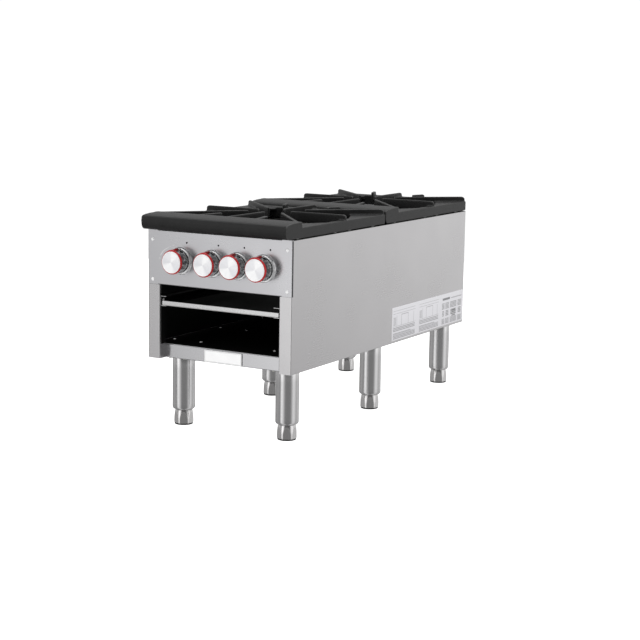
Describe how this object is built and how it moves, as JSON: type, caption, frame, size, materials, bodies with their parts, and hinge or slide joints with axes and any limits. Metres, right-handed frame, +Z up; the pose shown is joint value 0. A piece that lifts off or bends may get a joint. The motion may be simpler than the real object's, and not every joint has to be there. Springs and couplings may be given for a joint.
{
  "type": "stock pot range",
  "caption": "Low stainless steel gas stock pot range with lift-off cast grates over ring burners, front knobs, a pull-out drip tray and levelling legs.",
  "frame": {"origin": "on the floor under the middle of the whole range, knobs and gas inlet included", "axes": "+Z up, +Y from the control panel to the rear, +X to the right of a cook who faces the panel"},
  "size_m": [0.458, 1.124, 0.592],
  "materials": {
    "side_panel_left": "brushed sheet, fine straight grain",
    "side_panel_right": "brushed sheet, fine straight grain",
    "control_panel": "brushed sheet, fine straight grain",
    "kick_rail": "brushed sheet, fine straight grain",
    "floor_panel": "brushed sheet, fine straight grain",
    "rear_panel": "brushed sheet, fine straight grain",
    "grate_crossbar": "plain folded steel",
    "burner_supports": "plain folded steel",
    "leg_rail_left": "plain folded steel",
    "leg_rail_right": "plain folded steel",
    "tray_rail_left": "folded sheet",
    "tray_rail_right": "folded sheet",
    "drip_tray": "folded sheet, light use marks",
    "badge_plate": "blank satin plate",
    "front_screws": "domed, semi-bright",
    "rear_screws": "domed, semi-bright",
    "floor_screws": "domed, semi-bright",
    "leg_bolts": "zinc plated",
    "leg_front_left": "drawn tube, brushed around",
    "foot_front_left": "turned, faceted, satin",
    "leg_front_right": "drawn tube, brushed around",
    "foot_front_right": "turned, faceted, satin",
    "leg_middle_left": "drawn tube, brushed around",
    "foot_middle_left": "turned, faceted, satin",
    "leg_middle_right": "drawn tube, brushed around",
    "foot_middle_right": "turned, faceted, satin",
    "leg_rear_left": "drawn tube, brushed around",
    "foot_rear_left": "turned, faceted, satin",
    "leg_rear_right": "drawn tube, brushed around",
    "foot_rear_right": "turned, faceted, satin",
    "gas_manifold": "black pipe",
    "supply_pipe": "black pipe",
    "gas_valves": "cast and machined",
    "pilot_valves": "machined",
    "orifices": "machined hexagon",
    "rear_feed_pipes": "bare tube",
    "pilot_tubes": "bare tube",
    "burner_front_outer": "as cast",
    "burner_front_inner": "as cast",
    "burner_rear_outer": "as cast",
    "burner_rear_inner": "as cast",
    "air_shutter_1": "pressed disc",
    "knob_1": "polished, fluted",
    "knob_face_1": "turned disc in a red ring with a red pointer",
    "valve_stem_1": "turned",
    "air_shutter_2": "pressed disc",
    "knob_2": "polished, fluted",
    "knob_face_2": "turned disc in a red ring with a red pointer",
    "valve_stem_2": "turned",
    "air_shutter_3": "pressed disc",
    "knob_3": "polished, fluted",
    "knob_face_3": "turned disc in a red ring with a red pointer",
    "valve_stem_3": "turned",
    "air_shutter_4": "pressed disc",
    "knob_4": "polished, fluted",
    "knob_face_4": "turned disc in a red ring with a red pointer",
    "valve_stem_4": "turned",
    "knob_bezels": "polished",
    "front_grate": "matte black, as cast",
    "rear_grate": "matte black, as cast"
  },
  "bodies": {
    "cabinet": {"side_panel_left": "side_panel_left", "side_panel_right": "side_panel_right", "control_panel": "control_panel", "kick_rail": "kick_rail", "floor_panel": "floor_panel", "rear_panel": "rear_panel", "grate_crossbar": "grate_crossbar", "burner_supports": "burner_supports", "leg_rail_left": "leg_rail_left", "leg_rail_right": "leg_rail_right", "tray_rail_left": "tray_rail_left", "tray_rail_right": "tray_rail_right", "badge_plate": "badge_plate", "front_screws": "front_screws", "rear_screws": "rear_screws", "floor_screws": "floor_screws", "leg_bolts": "leg_bolts", "leg_front_left": "leg_front_left", "leg_front_right": "leg_front_right", "leg_middle_left": "leg_middle_left", "leg_middle_right": "leg_middle_right", "leg_rear_left": "leg_rear_left", "leg_rear_right": "leg_rear_right", "gas_manifold": "gas_manifold", "supply_pipe": "supply_pipe", "gas_valves": "gas_valves", "pilot_valves": "pilot_valves", "orifices": "orifices", "rear_feed_pipes": "rear_feed_pipes", "pilot_tubes": "pilot_tubes", "burner_front_outer": "burner_front_outer", "burner_front_inner": "burner_front_inner", "burner_rear_outer": "burner_rear_outer", "burner_rear_inner": "burner_rear_inner", "knob_bezels": "knob_bezels"},
    "knob_assembly_1": {"knob_1": "knob_1", "knob_face_1": "knob_face_1", "valve_stem_1": "valve_stem_1"},
    "shutter_1": {"air_shutter_1": "air_shutter_1"},
    "knob_assembly_2": {"knob_2": "knob_2", "knob_face_2": "knob_face_2", "valve_stem_2": "valve_stem_2"},
    "shutter_2": {"air_shutter_2": "air_shutter_2"},
    "knob_assembly_3": {"knob_3": "knob_3", "knob_face_3": "knob_face_3", "valve_stem_3": "valve_stem_3"},
    "shutter_3": {"air_shutter_3": "air_shutter_3"},
    "knob_assembly_4": {"knob_4": "knob_4", "knob_face_4": "knob_face_4", "valve_stem_4": "valve_stem_4"},
    "shutter_4": {"air_shutter_4": "air_shutter_4"},
    "tray": {"drip_tray": "drip_tray"},
    "grate_front": {"front_grate": "front_grate"},
    "grate_rear": {"rear_grate": "rear_grate"},
    "level_front_left": {"foot_front_left": "foot_front_left"},
    "level_front_right": {"foot_front_right": "foot_front_right"},
    "level_middle_left": {"foot_middle_left": "foot_middle_left"},
    "level_middle_right": {"foot_middle_right": "foot_middle_right"},
    "level_rear_left": {"foot_rear_left": "foot_rear_left"},
    "level_rear_right": {"foot_rear_right": "foot_rear_right"}
  },
  "joints": [
    {"name": "knob_1_turn", "type": "hinge", "parent": "cabinet", "child": "knob_assembly_1", "pos_m": [-0.1215, -0.517, 0.468], "axis": [0, -1, 0], "range_deg": [0, 90]},
    {"name": "knob_2_turn", "type": "hinge", "parent": "cabinet", "child": "knob_assembly_2", "pos_m": [-0.0205, -0.517, 0.468], "axis": [0, -1, 0], "range_deg": [0, 90]},
    {"name": "knob_3_turn", "type": "hinge", "parent": "cabinet", "child": "knob_assembly_3", "pos_m": [0.0608, -0.517, 0.468], "axis": [0, -1, 0], "range_deg": [0, 90]},
    {"name": "knob_4_turn", "type": "hinge", "parent": "cabinet", "child": "knob_assembly_4", "pos_m": [0.1418, -0.517, 0.468], "axis": [0, -1, 0], "range_deg": [0, 90]},
    {"name": "tray_slide", "type": "slide", "parent": "cabinet", "child": "tray", "axis": [0, -1, 0], "range_m": [0, 1.05]},
    {"name": "front_grate_lift", "type": "slide", "parent": "cabinet", "child": "grate_front", "axis": [0, 0, 1], "range_m": [0, 0.12]},
    {"name": "rear_grate_lift", "type": "slide", "parent": "cabinet", "child": "grate_rear", "axis": [0, 0, 1], "range_m": [0, 0.12]},
    {"name": "level_front_left_screw", "type": "slide", "parent": "cabinet", "child": "level_front_left", "axis": [0, 0, -1], "range_m": [0, 0.025]},
    {"name": "level_front_right_screw", "type": "slide", "parent": "cabinet", "child": "level_front_right", "axis": [0, 0, -1], "range_m": [0, 0.025]},
    {"name": "level_middle_left_screw", "type": "slide", "parent": "cabinet", "child": "level_middle_left", "axis": [0, 0, -1], "range_m": [0, 0.025]},
    {"name": "level_middle_right_screw", "type": "slide", "parent": "cabinet", "child": "level_middle_right", "axis": [0, 0, -1], "range_m": [0, 0.025]},
    {"name": "level_rear_left_screw", "type": "slide", "parent": "cabinet", "child": "level_rear_left", "axis": [0, 0, -1], "range_m": [0, 0.025]},
    {"name": "level_rear_right_screw", "type": "slide", "parent": "cabinet", "child": "level_rear_right", "axis": [0, 0, -1], "range_m": [0, 0.025]},
    {"name": "shutter_1_turn", "type": "hinge", "parent": "cabinet", "child": "shutter_1", "pos_m": [-0.1215, -0.427, 0.436], "axis": [0, -1, 0], "range_deg": [0, 60]},
    {"name": "shutter_2_turn", "type": "hinge", "parent": "cabinet", "child": "shutter_2", "pos_m": [-0.0205, -0.427, 0.436], "axis": [0, -1, 0], "range_deg": [0, 60]},
    {"name": "shutter_3_turn", "type": "hinge", "parent": "cabinet", "child": "shutter_3", "pos_m": [0.0608, 0.123, 0.436], "axis": [0, -1, 0], "range_deg": [0, 60]},
    {"name": "shutter_4_turn", "type": "hinge", "parent": "cabinet", "child": "shutter_4", "pos_m": [0.1418, 0.123, 0.436], "axis": [0, -1, 0], "range_deg": [0, 60]}
  ]
}
